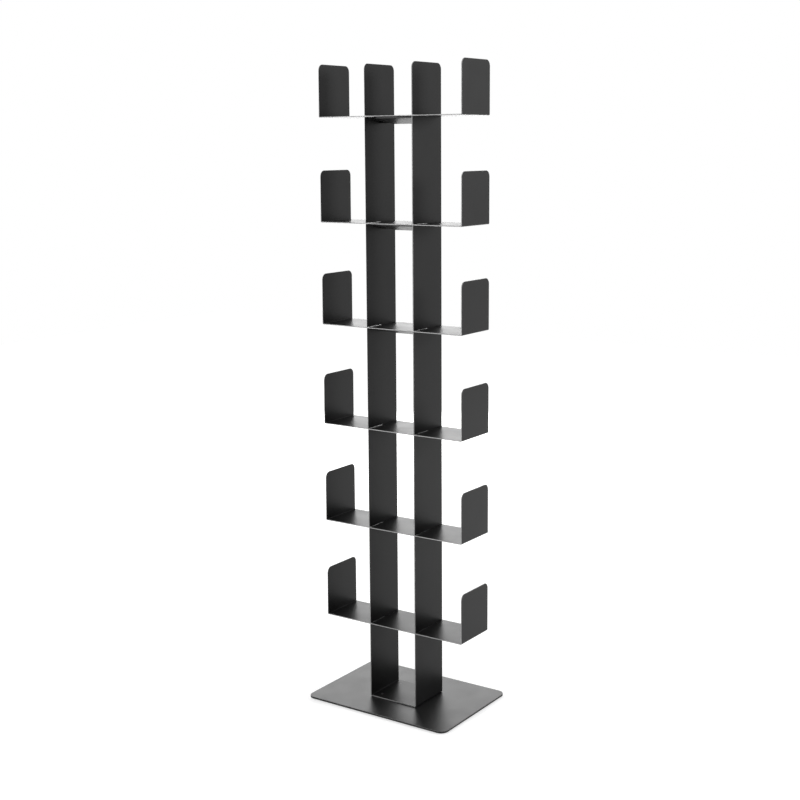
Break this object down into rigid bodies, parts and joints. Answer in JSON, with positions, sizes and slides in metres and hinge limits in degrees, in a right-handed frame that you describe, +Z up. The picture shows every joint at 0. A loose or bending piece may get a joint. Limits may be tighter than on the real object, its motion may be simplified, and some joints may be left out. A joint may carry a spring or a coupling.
{
  "type": "spine bookshelf",
  "caption": "Tall narrow free-standing steel bookshelf: a two-post spine on a flat base plate, crossed by shelf trays with upturned ends.",
  "frame": {"origin": "on the floor, at the centre of the footprint", "axes": "+X to the right along the shelves, +Y from the front to the back, +Z up"},
  "size_m": [0.417, 0.2986, 1.5948],
  "materials": {
    "spine_paint": "satin black powder coat",
    "shelf_paint": "satin black powder coat",
    "base_paint": "satin black powder coat",
    "screw_steel": "blacked (black oxide)",
    "pad_felt": "pressed felt"
  },
  "bodies": {
    "root": {"base_plate": "base_paint", "spine": "spine_paint", "shelf_1": "shelf_paint", "shelf_2": "shelf_paint", "shelf_3": "shelf_paint", "shelf_4": "shelf_paint", "shelf_5": "shelf_paint", "shelf_6": "shelf_paint", "support_rail_1": "spine_paint", "support_rail_2": "spine_paint", "support_rail_3": "spine_paint", "support_rail_4": "spine_paint", "support_rail_5": "spine_paint", "support_rail_6": "spine_paint", "base_screw_front_left": "screw_steel", "base_screw_front_right": "screw_steel", "base_screw_rear_left": "screw_steel", "base_screw_rear_right": "screw_steel", "floor_pad_front_left": "pad_felt", "floor_pad_front_right": "pad_felt", "floor_pad_rear_left": "pad_felt", "floor_pad_rear_right": "pad_felt"}
  },
  "joints": []
}
